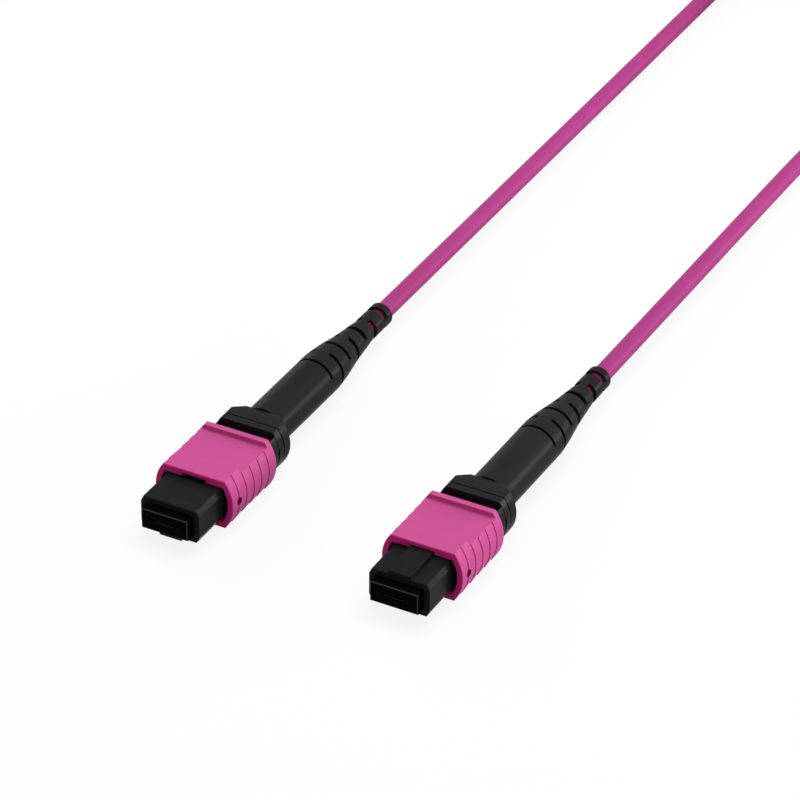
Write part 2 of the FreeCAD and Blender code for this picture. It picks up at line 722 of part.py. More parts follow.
ROUTES = {
    "cable_run_a": [
        (-axis_x, cable_start, axis_height),
        (-axis_x, 61.75, axis_height),
        (-19.66, 121.05, 1.42),
        (COIL_CENTRE[0] - outer_turn, COIL_CENTRE[1], floor_turn),
    ],
    "cable_run_b": [
        (axis_x, cable_start, axis_height),
        (axis_x, 61.75, axis_height),
        (16.18, 121.05, 1.42),
        (COIL_CENTRE[0] + outer_turn, COIL_CENTRE[1], upper_turn),
    ],
}


def rounded_route(name, points):
    """Straight runs joined by the largest tangent arcs that they leave room for."""
    points = [FreeCAD.Vector(*p) for p in points]
    edges, radii = [], []
    last = points[0]
    for before, corner, after in zip(points, points[1:], points[2:]):
        back = before - corner
        ahead = after - corner
        reach = 0.45 * min(back.Length, ahead.Length)
        back.normalize()
        ahead.normalize()
        turn = math.pi - back.getAngle(ahead)
        radius = reach / math.tan(turn / 2)
        start = corner + back * reach
        end = corner + ahead * reach
        inward = (back + ahead).normalize()
        middle = corner + inward * (radius / math.cos(turn / 2) - radius)
        edges.append(Part.LineSegment(last, start).toShape())
        edges.append(Part.Arc(start, middle, end).toShape())
        radii.append(radius)
        last = end
    edges.append(Part.LineSegment(last, points[-1]).toShape())
    print(name, "bend radii", ", ".join("%.0f mm" % r for r in radii))
    return Part.Wire(edges)


def cable_run(name, points):
    """A plain tube along a route that sets out along the connector. Its flats keep the cord light."""
    path = rounded_route(name, points)
    start = FreeCAD.Vector(*points[0])
    turns = [2 * math.pi * side / CORD_SIDES for side in range(CORD_SIDES)]
    corners = [start + FreeCAD.Vector(math.cos(turn), 0, math.sin(turn)) * cable_radius for turn in turns]
    tube = path.makePipeShell([Part.makePolygon(corners + corners[:1])], True, False)
    share = tube.Volume / (flat_face(corners).Area * path.Length)
    print("%s is %.1f mm long and has %.4f of its section's volume" % (name, path.Length, share))
    run = doc.addObject("Part::Feature", name)
    run.Shape = tube
    run.Label = name
    nodes.append(run)


for name, points in ROUTES.items():
    cable_run(name, points)


def coil_body(label):
    body = doc.addObject("PartDesign::Body", label)
    body.Label = label
    body.Placement.Base = FreeCAD.Vector(COIL_CENTRE[0], COIL_CENTRE[1], 0)
    nodes.append(body)
    return body


half_bundle = d.cable_diameter * ((TURNS_PER_LAYER + 1) / 2)
coil_inside = d.coil_radius - half_bundle
coil_outside = d.coil_radius + half_bundle
coil_top = d.tie_thickness + d.cable_diameter * COIL_LAYERS


def cable_coil():
    body = coil_body("cable_coil")
    turns = new_sketch(body, "turns", "XY_Plane", -coil_top)
    even_sided(turns, COIL_SIDES, coil_outside)
    even_sided(turns, COIL_SIDES, coil_inside / math.cos(math.pi / COIL_SIDES))
    pad(body, turns, d.cable_diameter * COIL_LAYERS)


def coil_tie():
    body = coil_body("coil_tie")
    body.Placement.Rotation = FreeCAD.Rotation(FreeCAD.Vector(0, 0, 1), 90)
    band = section(body, "band")
    wall = d.tie_thickness
    rectangle(band, coil_inside - wall, 0, coil_outside + wall, coil_top + wall)
    rectangle(band, coil_inside, wall, coil_outside, coil_top)
    reach = d.tie_width / d.coil_radius * (180 / math.pi)
    revolve(body, band, "V_Axis", reach)


cable_coil()
coil_tie()
doc.recompute()

# Every object is sound before anything is written

for thing in doc.Objects:
    if any(word in thing.State for word in ("Invalid", "Error")):
        raise RuntimeError("%s did not build: %s" % (thing.Name, thing.State))
for node in nodes:
    if node.Shape.isNull() or not node.Shape.isValid():
        raise RuntimeError(node.Label + " has no sound shape")
    print("%-28s solids %d  volume %9.3f mm3" % (node.Label, len(node.Shape.Solids), node.Shape.Volume))

os.makedirs("parts", exist_ok=True)
for node in nodes:
    node.Shape.exportStep("parts/%s.step" % node.Label)
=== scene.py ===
# %% [markdown]
# A multi-fibre patch cable, dressed for its portrait.
# The solids come from the frame, in metres, and already stand where they belong.
# This lesson gives them soft edges and finishes, and makes what a solid modeller leaves plain:
# the cord, the springs, the glass ends of the fibres and the woven strap.

# %% Load the frame
import math
import bpy
from mathutils import Matrix, Vector


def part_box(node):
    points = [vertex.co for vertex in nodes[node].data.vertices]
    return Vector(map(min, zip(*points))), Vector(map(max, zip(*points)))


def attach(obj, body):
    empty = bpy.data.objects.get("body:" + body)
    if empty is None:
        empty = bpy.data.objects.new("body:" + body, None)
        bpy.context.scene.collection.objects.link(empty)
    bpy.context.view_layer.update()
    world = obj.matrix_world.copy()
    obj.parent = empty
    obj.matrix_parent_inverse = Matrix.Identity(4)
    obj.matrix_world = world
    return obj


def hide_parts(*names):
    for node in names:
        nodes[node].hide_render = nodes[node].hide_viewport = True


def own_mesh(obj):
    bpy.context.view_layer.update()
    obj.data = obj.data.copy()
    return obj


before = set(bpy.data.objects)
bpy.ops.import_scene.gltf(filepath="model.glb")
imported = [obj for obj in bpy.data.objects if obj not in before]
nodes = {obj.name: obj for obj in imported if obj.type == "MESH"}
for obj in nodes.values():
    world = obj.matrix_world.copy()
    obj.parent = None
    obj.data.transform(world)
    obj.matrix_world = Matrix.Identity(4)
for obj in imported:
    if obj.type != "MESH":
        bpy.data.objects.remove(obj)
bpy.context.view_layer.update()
MM = 0.001
SIDES = ("a", "b")

# %% [markdown]
# The camera comes first, because it decides what can be seen.
# The connectors were pictured from a long way off with a long lens, from above and from the right.
# One set of Euler angles could say where it looks, but a turn about Z, then a tip, then a roll about
# its own axis are easier to read and to correct one by one.

# %% Camera
CAMERA_PLACE = Vector((249.027, -465.238, 355.434)) * MM
CAMERA_AZIMUTH = math.radians(27.979)
CAMERA_ELEVATION = math.radians(33.056)
CAMERA_ROLL = math.radians(0.525)
CAMERA_LENS = 203.669
CAMERA_SENSOR = 36.0
CLIP_NEAR = 0.01
CLIP_FAR = 20.0


def placed(name, data):
    """A new object in the scene that holds a mesh, a curve, a lamp or a camera."""
    thing = bpy.data.objects.new(name, data)
    bpy.context.scene.collection.objects.link(thing)
    return thing


camera_data = bpy.data.cameras.new("portrait_lens")
camera_data.lens = CAMERA_LENS
camera_data.sensor_width = CAMERA_SENSOR
camera_data.clip_start = CLIP_NEAR
camera_data.clip_end = CLIP_FAR
camera = placed("portrait_camera", camera_data)
turned = Matrix.Rotation(CAMERA_AZIMUTH, 4, "Z")
tipped = Matrix.Rotation(math.pi / 2 - CAMERA_ELEVATION, 4, "X")
rolled = Matrix.Rotation(CAMERA_ROLL, 4, "Z")
camera.matrix_world = Matrix.Translation(CAMERA_PLACE) @ turned @ tipped @ rolled
bpy.context.scene.camera = camera
print("camera", round(CAMERA_PLACE.length, 3), "m from the origin")

# %% [markdown]
# The cord is one length of round jacket from boot to boot.
# Each run leaves its boot straight, sinks to the table and goes on to a flat coil that takes up the rest.
# A tube mesh would need every ring of its points. A NURBS curve of order 3 needs only a few control
# points, bends as smoothly as a real jacket does, and its bevel gives it a round section.
# The coil's points come from a loop: in along the lower layer, up, and out again along the upper one.

# %% Cord
CORD_DIAMETER = 2.7 * MM
COIL_CENTRE = Vector((1.15, 179.35, 0.0)) * MM
OUTER_TURN = 20.4875 * MM
LOWER_LAYER = 1.85 * MM
UPPER_LAYER = LOWER_LAYER + CORD_DIAMETER
TURNS_PER_LAYER = 3.25
CLIMB_TURNS = 0.5
POINTS_PER_TURN = 16
STEPS_PER_POINT = 6
BEVEL_RESOLUTION = 6

RUN_A = [(-17.8, 3.655, 3.85), (-17.8, 47.5, 3.85), (-17.8, 61.75, 3.85), (-19.66, 121.05, 1.42)]
RUN_B = [(16.18, 121.05, 1.42), (17.8, 61.75, 3.85), (17.8, 47.5, 3.85), (17.8, 3.655, 3.85)]


def coil_points():
    """Two layers of turns, a diameter apart, clockwise from the left to the right."""
    steps = int(2 * TURNS_PER_LAYER * POINTS_PER_TURN)
    points = []
    for step in range(steps + 1):
        turns = step / POINTS_PER_TURN
        inward = min(turns, 2 * TURNS_PER_LAYER - turns)
        angle = math.pi - 2 * math.pi * turns
        radius = OUTER_TURN - CORD_DIAMETER * inward
        climb = min(max((turns - TURNS_PER_LAYER) / CLIMB_TURNS + 0.5, 0.0), 1.0)
        height = LOWER_LAYER + (UPPER_LAYER - LOWER_LAYER) * climb
        points.append(COIL_CENTRE + Vector((radius * math.cos(angle), radius * math.sin(angle), height)))
    return points


def in_metres(points):
    return [Vector(p) * MM for p in points]


cord_points = in_metres(RUN_A) + coil_points() + in_metres(RUN_B)
cord_curve = bpy.data.curves.new("patch_cord", "CURVE")
cord_curve.dimensions = "3D"
cord_curve.bevel_depth = CORD_DIAMETER / 2
cord_curve.bevel_resolution = BEVEL_RESOLUTION
cord_curve.use_fill_caps = True
cord_line = cord_curve.splines.new("NURBS")
cord_line.points.add(len(cord_points) - 1)
for control, place in zip(cord_line.points, cord_points):
    control.co = (*place, 1.0)
cord_line.order_u = 3
cord_line.use_endpoint_u = True
cord_line.resolution_u = STEPS_PER_POINT
cord = placed("patch_cord", cord_curve)
print("cord of", len(cord_points), "points,", round(cord_line.calc_length(), 3), "m")

# %% [markdown]
# Every finish starts from one shader and a few textures that read the piece's own coordinates.
# Those are in metres, so a texture scale of 1000 gives a pattern about a millimetre across.
# Image textures would need unwrapped surfaces, which most of these pieces don't have.
# Small helpers keep the finishes short: a shader with its plain values, a texture, and ways to spread it
# over a number, a colour or a relief. Noise seldom leaves a middle range, so that range is spread.

# %% Helpers for finishes
NOISE_LOW = 0.3
NOISE_HIGH = 0.7
UNSTRETCHED = (1.0, 1.0, 1.0)


def new_finish(name, colour, roughness, specular=0.5, metallic=0.0):
    """A material with its plain values set, and its tree and shader to build on."""
    material = bpy.data.materials.new(name)
    material.use_nodes = True
    material.diffuse_color = (*colour, 1.0)
    shader = material.node_tree.nodes["Principled BSDF"]
    shader.inputs["Base Color"].default_value = (*colour, 1.0)
    shader.inputs["Roughness"].default_value = roughness
    shader.inputs["Specular IOR Level"].default_value = specular
    shader.inputs["Metallic"].default_value = metallic
    return material, material.node_tree, shader


def texture(tree, kind, scale, source="Object", stretch=UNSTRETCHED):
    """A texture on the piece's own coordinates or its map, which a mapping may stretch."""
    where = tree.nodes.new("ShaderNodeTexCoord")
    mapping = tree.nodes.new("ShaderNodeMapping")
    mapping.inputs["Scale"].default_value = stretch
    pattern = tree.nodes.new(kind)
    pattern.inputs["Scale"].default_value = scale
    tree.links.new(where.outputs[source], mapping.inputs["Vector"])
    tree.links.new(mapping.outputs["Vector"], pattern.inputs["Vector"])
    return pattern


def noise(tree, scale, detail=2.0, stretch=UNSTRETCHED):
    pattern = texture(tree, "ShaderNodeTexNoise", scale, stretch=stretch)
    pattern.inputs["Detail"].default_value = detail
    return pattern.outputs["Fac"]


def spread(tree, value, low, high, socket):
    """Sends a texture's middle range to a shader's number, between two values."""
    ranged = tree.nodes.new("ShaderNodeMapRange")
    ranged.inputs["From Min"].default_value = NOISE_LOW
    ranged.inputs["From Max"].default_value = NOISE_HIGH
    ranged.inputs["To Min"].default_value = low
    ranged.inputs["To Max"].default_value = high
    tree.links.new(value, ranged.inputs["Value"])
    tree.links.new(ranged.outputs["Result"], socket)


def tint(tree, value, dark, light, socket, start=NOISE_LOW, end=NOISE_HIGH):
    """Turns a texture into a colour between two tones."""
    ramp = tree.nodes.new("ShaderNodeValToRGB")
    ramp.color_ramp.elements[0].position = start
    ramp.color_ramp.elements[1].position = end
    ramp.color_ramp.elements[0].color = (*dark, 1.0)
    ramp.color_ramp.elements[1].color = (*light, 1.0)
    tree.links.new(value, ramp.inputs["Fac"])
    tree.links.new(ramp.outputs["Color"], socket)


def bump(tree, shader, value, depth, strength=1.0):
    """Turns a texture into a relief of a real depth."""
    relief = tree.nodes.new("ShaderNodeBump")
    relief.inputs["Distance"].default_value = depth
    relief.inputs["Strength"].default_value = strength
    tree.links.new(value, relief.inputs["Height"])
    tree.links.new(relief.outputs["Normal"], shader.inputs["Normal"])


def shade(colour, factor):
    return tuple(part * factor for part in colour)


finish_helpers = (new_finish, texture, noise, spread, tint, bump, shade)
print("finish helpers", [helper.__name__ for helper in finish_helpers])

# %% [markdown]
# Some finishes get painted shade or a painted highlight at one place on a piece: in a blind hole, at a
# ground edge, in a joint.
# A second material on some faces could mark the place, if the solids' faces ended there.
# A mask works anywhere: it compares the piece's own coordinates with a place read from the frame,
# and a Mix node lays a second colour over the first one there.

# %% Helpers for a change of colour at one place
# A Mix node has a set of sockets for each kind of data. These are the numbers of the colour ones.
MIX_FACTOR = 0
MIX_UNDER = 6
MIX_OVER = 7
MIX_RESULT = 2


def along_y(tree, origin, span):
    """1 where the piece's Y lies in a span that is measured from an origin, 0 elsewhere."""
    where = tree.nodes.new("ShaderNodeTexCoord")
    parts = tree.nodes.new("ShaderNodeSeparateXYZ")
    inside = tree.nodes.new("ShaderNodeMath")
    inside.operation = "COMPARE"
    inside.inputs[1].default_value = origin + sum(span) / 2
    inside.inputs[2].default_value = (span[1] - span[0]) / 2
    tree.links.new(where.outputs["Object"], parts.inputs["Vector"])
    tree.links.new(parts.outputs["Y"], inside.inputs[0])
    return inside.outputs["Value"]


def about_line(tree, y, z, radius):
    """1 within a radius of a line that runs along X, 0 elsewhere."""
    where = tree.nodes.new("ShaderNodeTexCoord")
    offset = tree.nodes.new("ShaderNodeMapping")
    offset.inputs["Location"].default_value = (0.0, -y, -z)
    offset.inputs["Scale"].default_value = (0.0, 1.0, 1.0)
    distance = tree.nodes.new("ShaderNodeVectorMath")
    distance.operation = "LENGTH"
    near = tree.nodes.new("ShaderNodeMath")
    near.operation = "LESS_THAN"
    near.inputs[1].default_value = radius
    tree.links.new(where.outputs["Object"], offset.inputs["Vector"])
    tree.links.new(offset.outputs["Vector"], distance.inputs[0])
    tree.links.new(distance.outputs["Value"], near.inputs[0])
    return near.outputs["Value"]


def repaint(material, mask, colour):
    """Lays a second colour over a finish where a mask is 1."""
    tree = material.node_tree
    painted = tree.nodes["Principled BSDF"].inputs["Base Color"]
    over = tree.nodes.new("ShaderNodeMix")
    over.data_type = "RGBA"
    over.inputs[MIX_OVER].default_value = (*colour, 1.0)
    tree.links.new(mask, over.inputs[MIX_FACTOR])
    tree.links.new(painted.links[0].from_socket, over.inputs[MIX_UNDER])
    tree.links.new(over.outputs[MIX_RESULT], painted)


print("place helpers", [helper.__name__ for helper in (along_y, about_line, repaint)])

# %% [markdown]
# The sleeve, the housing and the rear body are moulded, and have the fine grain of a mould's skin.
# A displaced mesh could show that grain, but it is only microns deep, so a bump is enough.
# A small noise gives the relief, and a wide one lets tone and gloss drift a little.
# One recipe serves all three pieces, with different colours and grain.
# Little light finds its way into the sleeve's two blind dimples, so they get a deeper tone.
# The flat rim round its mouth faces away from the lamps, so a deeper colour is painted on it as shade.

# %% Moulded plastics
MAGENTA = (0.615, 0.090, 0.310)
DIMPLE_SHADE_COLOUR = (0.32, 0.016, 0.125)
RIM_SHADE_COLOUR = (0.74, 0.036, 0.265)
BLACK = (0.0156, 0.0154, 0.0159)
REAR_BLACK = shade(BLACK, 1.28)
DIMPLE_FROM_FRONT = 1.97 * MM
DIMPLE_RADIUS = 0.62 * MM
RIM_SPAN = (-0.02 * MM, 0.1 * MM)


def moulded_plastic(name, colour, roughness, specular, grain, depth, drift=0.05):
    material, tree, shader = new_finish(name, colour, roughness, specular)
    cloud = noise(tree, 450.0)
    tint(tree, cloud, shade(colour, 1 - drift), shade(colour, 1 + drift), shader.inputs["Base Color"])
    spread(tree, cloud, roughness - 0.04, roughness + 0.05, shader.inputs["Roughness"])
    bump(tree, shader, noise(tree, grain, 3.0), depth)
    return material


sleeve_finish = moulded_plastic("magenta_moulding", MAGENTA, roughness=0.5, specular=0.03,
                                grain=7000.0, depth=0.0035 * MM, drift=0.02)
sleeve_low, sleeve_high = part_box("coupling_sleeve_a")
# Painted shade in the sleeve's two blind dimples, where little light gets in.
in_dimple_shade = about_line(sleeve_finish.node_tree, sleeve_low.y + DIMPLE_FROM_FRONT,
                       (sleeve_low.z + sleeve_high.z) / 2, DIMPLE_RADIUS)
repaint(sleeve_finish, in_dimple_shade, DIMPLE_SHADE_COLOUR)
# Painted shade: the rim that faces away from the lamps gets a deeper colour.
on_shaded_rim = along_y(sleeve_finish.node_tree, sleeve_low.y, RIM_SPAN)
repaint(sleeve_finish, on_shaded_rim, RIM_SHADE_COLOUR)
housing_finish = moulded_plastic("black_nose_moulding", BLACK, roughness=0.26, specular=0.014,
                                 grain=9000.0, depth=0.002 * MM)
rear_finish = moulded_plastic("black_body_moulding", REAR_BLACK, roughness=0.3, specular=0.016,
                              grain=9000.0, depth=0.002 * MM)
print("moulded", [finish.name for finish in (sleeve_finish, housing_finish, rear_finish)])

# %% [markdown]
# The ferrule is a resin packed with fine filler, ground flat at its end.
# Plain noise would look like dirt. The small cells of a Voronoi pattern look like filler grains, which
# grinding lays bare. The bevel round the end face gets a paler tone, a painted highlight along its edges.

# %% Ferrule resin
RESIN_COLOUR = (0.0022, 0.0022, 0.0024)
BEVEL_HIGHLIGHT_COLOUR = (0.055, 0.055, 0.057)
GROUND_EDGE = (0.006 * MM, 0.128 * MM)


def ferrule_resin():
    material, tree, shader = new_finish("filled_resin", RESIN_COLOUR, roughness=0.36, specular=0.006)
    grains = texture(tree, "ShaderNodeTexVoronoi", 22000.0).outputs["Distance"]
    tint(tree, grains, shade(RESIN_COLOUR, 2.4), RESIN_COLOUR, shader.inputs["Base Color"], 0.1, 0.3)
    # A paler tone on the bevel paints the highlight that its edges catch.
    bevel = along_y(tree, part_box("mt_ferrule_a")[0].y, GROUND_EDGE)
    repaint(material, bevel, BEVEL_HIGHLIGHT_COLOUR)
    spread(tree, noise(tree, 3000.0), 0.3, 0.42, shader.inputs["Roughness"])
    bump(tree, shader, grains, 0.0015 * MM, 0.5)
    return material


ferrule_finish = ferrule_resin()
print("ferrule", ferrule_finish.name)

# %% [markdown]
# The boot is a soft elastomer with a satin skin, and the rubber plug inside the nose is duller.
# A plain even tone would do from far off. A noise stretched along their length, the way a melt flows
# into a mould, keeps them from looking painted.
# A narrow joint stays open between the boot's front and the rear body's flange.
# Hardly any light reaches its floor, so it is painted nearly black.

# %% Elastomers
BOOT_COLOUR = (0.0235, 0.0233, 0.0239)
PLUG_COLOUR = (0.03, 0.03, 0.03)
JOINT_COLOUR = (0.001, 0.001, 0.001)
JOINT_HALF = 0.07 * MM


def elastomer(name, colour, roughness, specular):
    material, tree, shader = new_finish(name, colour, roughness, specular)
    flow = noise(tree, 220.0, 3.0, stretch=(1.0, 0.25, 1.0))
    tint(tree, flow, shade(colour, 0.85), shade(colour, 1.12), shader.inputs["Base Color"])
    spread(tree, flow, roughness - 0.05, roughness + 0.05, shader.inputs["Roughness"])
    bump(tree, shader, noise(tree, 5000.0, 3.0), 0.003 * MM)
    return material


boot_finish = elastomer("boot_elastomer", BOOT_COLOUR, roughness=0.3, specular=0.009)
plug_finish = elastomer("plug_rubber", PLUG_COLOUR, roughness=0.62, specular=0.3)
boot_low, boot_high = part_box("strain_relief_boot_a")
for finish in (boot_finish, rear_finish):
    in_joint = along_y(finish.node_tree, boot_low.y, (-JOINT_HALF, JOINT_HALF))
    repaint(finish, in_joint, JOINT_COLOUR)
print("elastomers", boot_finish.name, plug_finish.name)

# %% [markdown]
# The jacket is extruded, so it has no mould's grain, only a faint orange-peel relief.
# A map along the curve could carry that, but noise on the cord's own coordinates does it without one.
# Inside the boot the light on it has mostly bounced off the jacket itself, so it is painted deeper there.

# %% Jacket
JACKET_COLOUR = (0.405, 0.049, 0.224)
SHADED_JACKET = (0.34, 0.009, 0.105)
SHADE_FROM_TIP = 0.2 * MM


def extruded_jacket():
    material, tree, shader = new_finish("magenta_jacket", JACKET_COLOUR, roughness=0.5, specular=0.03)
    cloud = noise(tree, 160.0, 3.0)
    tint(tree, cloud, shade(JACKET_COLOUR, 0.94), shade(JACKET_COLOUR, 1.06), shader.inputs["Base Color"])
    spread(tree, noise(tree, 900.0), 0.46, 0.55, shader.inputs["Roughness"])
    bump(tree, shader, noise(tree, 1300.0, 2.0), 0.004 * MM, 0.5)
    in_boot = along_y(tree, 0.0, (boot_low.y, boot_high.y - SHADE_FROM_TIP))
    repaint(material, in_boot, SHADED_JACKET)
    return material


jacket_finish = extruded_jacket()
cord_curve.materials.append(jacket_finish)
print("jacket", jacket_finish.name)

# %% [markdown]
# Three metals hide inside: drawn wire in the springs, a stamped keeper and a soft crimp ring.
# Anisotropic gloss could show their grain. A noise shows it in colour, gloss and relief at once,
# stretched the way the keeper was rolled and the ring was drawn.

# %% Metals
def drawn_metal(name, colour, roughness, stretch=UNSTRETCHED):
    material, tree, shader = new_finish(name, colour, roughness, metallic=1.0)
    grain = noise(tree, 6000.0, 3.0, stretch=stretch)
    tint(tree, grain, shade(colour, 0.82), shade(colour, 1.1), shader.inputs["Base Color"])
    spread(tree, grain, roughness - 0.08, roughness + 0.1, shader.inputs["Roughness"])
    bump(tree, shader, grain, 0.002 * MM, 0.6)
    return material


spring_finish = drawn_metal("spring_wire", (0.55, 0.55, 0.56), roughness=0.28)
keeper_finish = drawn_metal("stamped_keeper", (0.5, 0.5, 0.5), roughness=0.34, stretch=(0.04, 1.0, 1.0))
crimp_finish = drawn_metal("crimp_ring_metal", (0.66, 0.66, 0.68), roughness=0.36, stretch=(1.0, 0.05, 1.0))
print("metals", [finish.name for finish in (spring_finish, keeper_finish, crimp_finish)])

# %% [markdown]
# Twelve coated fibres lie side by side in the ribbon, each with its own colour from the usual code.
# Twelve thin rods would carry the same colours, but they are a quarter of a millimetre wide and hidden.
# So a ramp with hard steps across the ribbon's width paints them. The mapping brings each ribbon to 0..1.

# %% Coated fibres
FIBRE_COLOURS = [(0.02, 0.12, 0.55), (0.80, 0.22, 0.02), (0.03, 0.36, 0.06), (0.20, 0.07, 0.02),
                 (0.22, 0.25, 0.27), (0.80, 0.80, 0.76), (0.60, 0.02, 0.02), (0.02, 0.02, 0.02),
                 (0.85, 0.62, 0.02), (0.22, 0.05, 0.38), (0.80, 0.30, 0.38), (0.05, 0.55, 0.58)]


def coated_fibres(side):
    low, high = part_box("fibre_ribbon_" + side)
    material, tree, shader = new_finish("coated_fibres_" + side, (0.5, 0.5, 0.5), roughness=0.3)
    width = high.x - low.x
    where = tree.nodes.new("ShaderNodeTexCoord")
    mapping = tree.nodes.new("ShaderNodeMapping")
    mapping.inputs["Location"].default_value = (-low.x / width, 0.0, 0.0)
    mapping.inputs["Scale"].default_value = (1 / width, 1.0, 1.0)
    across = tree.nodes.new("ShaderNodeSeparateXYZ")
    ramp = tree.nodes.new("ShaderNodeValToRGB")
    ramp.color_ramp.interpolation = "CONSTANT"
    while len(ramp.color_ramp.elements) < len(FIBRE_COLOURS):
        ramp.color_ramp.elements.new(0.5)
    for number, (element, colour) in enumerate(zip(ramp.color_ramp.elements, FIBRE_COLOURS)):
        element.position = number / len(FIBRE_COLOURS)
        element.color = (*colour, 1.0)
    tree.links.new(where.outputs["Object"], mapping.inputs["Vector"])
    tree.links.new(mapping.outputs["Vector"], across.inputs["Vector"])
    tree.links.new(across.outputs["X"], ramp.inputs["Fac"])
    tree.links.new(ramp.outputs["Color"], shader.inputs["Base Color"])
    spread(tree, noise(tree, 3000.0), 0.25, 0.36, shader.inputs["Roughness"])
    return material


ribbon_finish = {side: coated_fibres(side) for side in SIDES}
print("ribbons", [finish.name for finish in ribbon_finish.values()])

# %% [markdown]
# The solids arrive as loose triangles with sharp edges, and no moulded edge is really sharp.
# Their meshes stay as they are, so modifiers do the work.
# The first is a small Geometry Nodes tree that joins the triangles and shades them smooth where they meet
# at a low angle. Every tree in this lesson starts the same way, with named inputs and one output.

# %% Joined surfaces
WELD_DISTANCE = 0.0008 * MM


def new_tree(name, inputs, output):
    """An empty tree: its input sockets' identifiers, and the two ends to link its nodes to."""
    tree = bpy.data.node_groups.new(name, "GeometryNodeTree")
    sockets = {}
    for label, kind in inputs.items():
        socket = tree.interface.new_socket(name=label, in_out="INPUT", socket_type="NodeSocket" + kind)
        sockets[label] = socket.identifier
    tree.interface.new_socket(name=output, in_out="OUTPUT", socket_type="NodeSocketGeometry")
    come = tree.nodes.new("NodeGroupInput").outputs
    go = tree.nodes.new("NodeGroupOutput").inputs[output]
    return tree, sockets, come, go


def joined_surface_tree():
    tree, sockets, come, go = new_tree("joined_surface", {
        "Solid": "Geometry", "Sharp from": "Float"}, "Surface")
    merge = tree.nodes.new("GeometryNodeMergeByDistance")
    merge.inputs["Distance"].default_value = WELD_DISTANCE
    forget = tree.nodes.new("GeometryNodeRemoveAttribute")
    forget.inputs["Name"].default_value = "custom_normal"
    smooth = tree.nodes.new("GeometryNodeSetShadeSmooth")
    smooth.domain = "FACE"
    corner = tree.nodes.new("GeometryNodeInputMeshEdgeAngle")
    compare = tree.nodes.new("FunctionNodeCompare")
    compare.operation = "GREATER_THAN"
    sharp = tree.nodes.new("GeometryNodeSetShadeSmooth")
    sharp.domain = "EDGE"
    sharp.inputs["Shade Smooth"].default_value = False
    link = tree.links.new
    link(come["Solid"], merge.inputs["Geometry"])
    link(merge.outputs["Geometry"], forget.inputs["Geometry"])
    link(forget.outputs["Geometry"], smooth.inputs["Geometry"])
    link(smooth.outputs["Geometry"], sharp.inputs["Geometry"])
    link(corner.outputs["Unsigned Angle"], compare.inputs["A"])
    link(come["Sharp from"], compare.inputs["B"])
    link(compare.outputs["Result"], sharp.inputs["Selection"])
    link(sharp.outputs["Geometry"], go)
    return tree, sockets


joined_surface, surface_sockets = joined_surface_tree()
print("joined surface tree of", len(joined_surface.nodes), "nodes")

# %% [markdown]
# A Bevel modifier then rounds the edges that are left, by as much as each piece's mould would.
# The solids could carry these roundings themselves, but would need many more faces for them.

# %% Soft edges
EDGE_ANGLE = math.radians(24)
EDGE_SEGMENTS = 2


def dress(node, finish, edge):
    """Gives a CAD node its finish, a joined surface and edges rounded by a real width."""
    solid = nodes[node]
    solid.data.materials.clear()
    solid.data.materials.append(finish)
    joined = solid.modifiers.new("joined_surface", "NODES")
    joined.node_group = joined_surface
    joined[surface_sockets["Sharp from"]] = EDGE_ANGLE
    if edge:
        rounding = solid.modifiers.new("rounded_edges", "BEVEL")
        rounding.width = edge
        rounding.segments = EDGE_SEGMENTS
        rounding.limit_method = "ANGLE"
        rounding.angle_limit = EDGE_ANGLE
        rounding.use_clamp_overlap = True
        rounding.harden_normals = True


for side in SIDES:
    dress("coupling_sleeve_" + side, sleeve_finish, 0.06 * MM)
    dress("inner_housing_" + side, housing_finish, 0.05 * MM)
    dress("mt_ferrule_" + side, ferrule_finish, 0.02 * MM)
    dress("rear_body_" + side, rear_finish, 0.05 * MM)
    dress("strain_relief_boot_" + side, boot_finish, 0.05 * MM)
    dress("ferrule_plug_" + side, plug_finish, 0.05 * MM)
    dress("pin_keeper_" + side, keeper_finish, 0.04 * MM)
    dress("crimp_ring_" + side, crimp_finish, 0.04 * MM)
    dress("fibre_ribbon_" + side, ribbon_finish[side], 0.0)
print("dressed", sum(1 for node in nodes.values() if node.modifiers), "solids")

# %% [markdown]
# A coil spring is round wire wound on a helix. A Screw modifier could wind one too, but every spring would
# need a profile and settings of its own. A spring follows a rule, so Geometry Nodes wind it: a spiral
# curve, a round wire swept along it, and copies side by side where there are two.
# Named inputs carry its sizes.

# %% Spring winding
WIRE_SIDES = 10
STEPS_PER_TURN = 24


